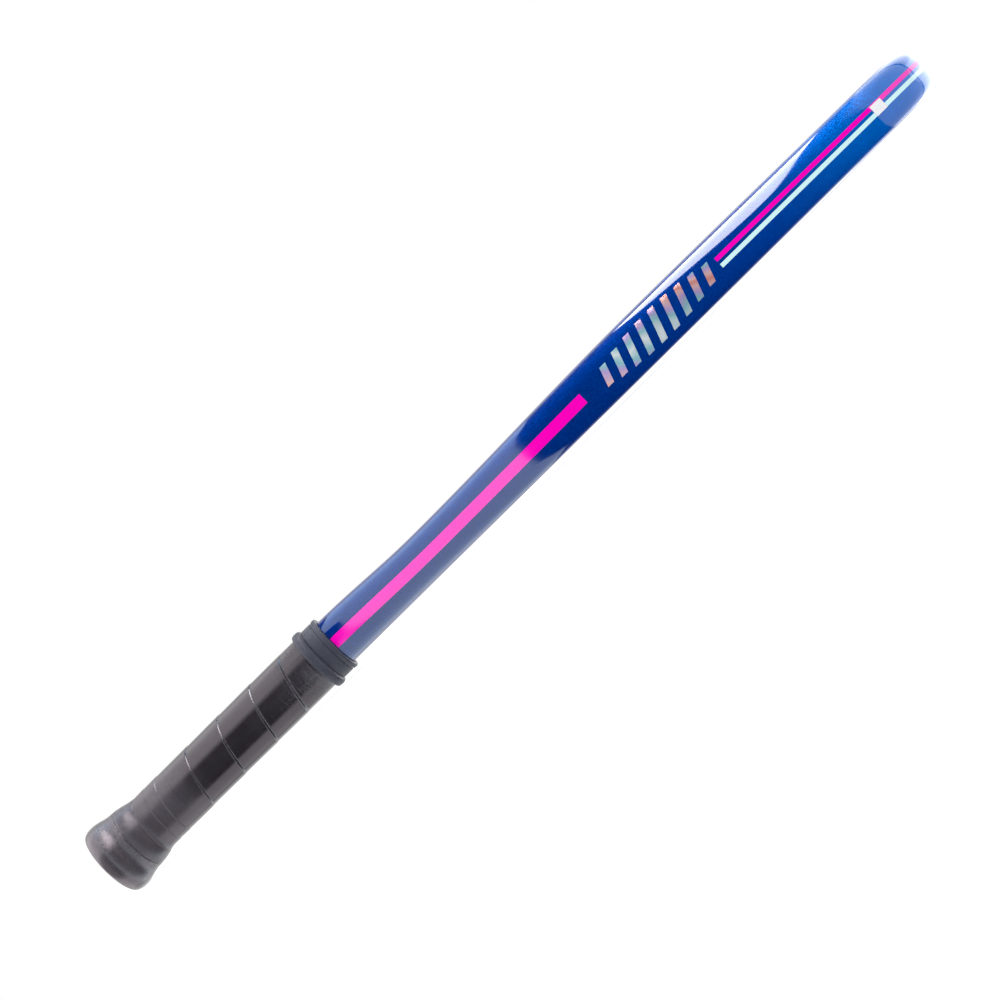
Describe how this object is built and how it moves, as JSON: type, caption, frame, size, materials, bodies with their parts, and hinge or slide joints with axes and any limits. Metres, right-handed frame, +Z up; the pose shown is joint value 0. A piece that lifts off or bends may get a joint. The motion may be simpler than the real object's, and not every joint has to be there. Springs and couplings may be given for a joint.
{
  "type": "field hockey stick",
  "caption": "Junior composite field hockey stick: J-shaped head with a flat face, taped handle with a rubber collar and butt cap.",
  "frame": {"origin": "centre of the bounding box at its bottom, on the surface that the stick lies on", "axes": "+X from the butt cap to the head, +Y the way the hook bends, +Z up, away from the flat face that the stick lies on"},
  "size_m": [0.6604, 0.1126, 0.0449],
  "materials": {
    "lacquered_laminate": "glossy metallic blue lacquer over glass and carbon laminate",
    "raw_laminate": "bare carbon laminate",
    "foam": "rigid polyurethane foam",
    "head_foam": "dense filled foam",
    "damper_rubber": "soft rubber",
    "plug_plastic": "moulded nylon",
    "cap_rubber": "smooth satin rubber",
    "adhesive_tape": "thin adhesive tape",
    "grip_tape": "tacky polyurethane grip tape, wound with overlapping turns",
    "collar_rubber": "matte moulded rubber",
    "pink_transfer": "hot pink printed transfer under gloss lacquer",
    "cyan_transfer": "pale cyan printed transfer under gloss lacquer",
    "foil_transfer": "iridescent metal foil transfer",
    "white_transfer": "plain white transfer"
  },
  "bodies": {
    "root": {"shell": "lacquered_laminate", "centre_web": "raw_laminate", "outer_core": "foam", "inner_core": "foam", "head_core": "head_foam", "handle_damper": "damper_rubber", "end_plug": "plug_plastic", "butt_cap": "cap_rubber", "grip_underlay": "adhesive_tape", "grip_tape": "grip_tape", "finishing_tape": "adhesive_tape", "collar": "collar_rubber", "wide_stripe": "pink_transfer", "pink_stripe": "pink_transfer", "cyan_stripe": "cyan_transfer", "foil_marks": "foil_transfer", "size_tag": "white_transfer"}
  },
  "joints": []
}
